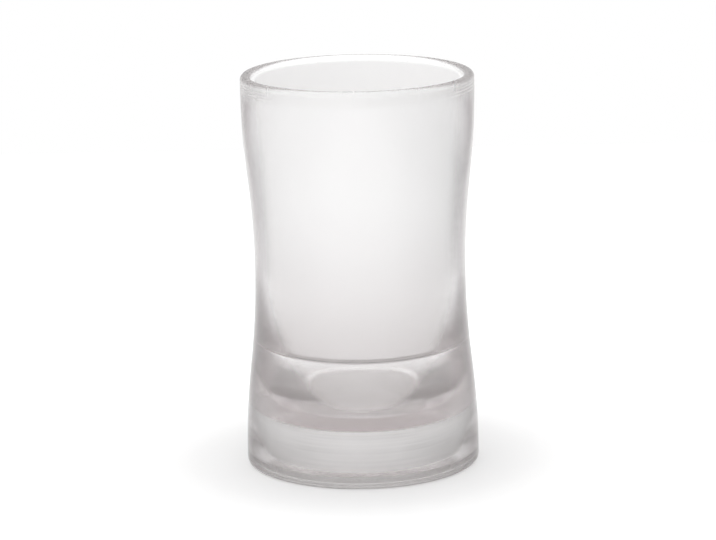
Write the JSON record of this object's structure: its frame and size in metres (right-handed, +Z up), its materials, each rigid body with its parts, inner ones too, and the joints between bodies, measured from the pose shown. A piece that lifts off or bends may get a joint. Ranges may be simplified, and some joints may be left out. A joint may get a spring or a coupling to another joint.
{
  "type": "bathroom tumbler",
  "caption": "Waisted clear plastic tumbler with a satin-walled inner cup, a thick clear base and a flared foot, open at the top.",
  "frame": {"origin": "centre of the foot, on the plane it stands on", "axes": "+Z up along the axis of the cup; the part is round about Z"},
  "size_m": [0.0712, 0.0712, 0.12],
  "materials": {
    "clear_body": "polished clear acrylic",
    "satin_cup": "satin wall, polished heel and floor",
    "clear_disc": "polished clear acrylic with fine turning marks",
    "cement": "clear solvent cement"
  },
  "bodies": {
    "root": {"outer_body": "clear_body", "inner_cup": "satin_cup", "rim_bond": "cement", "base_disc": "clear_disc", "base_bond": "cement"}
  },
  "joints": []
}
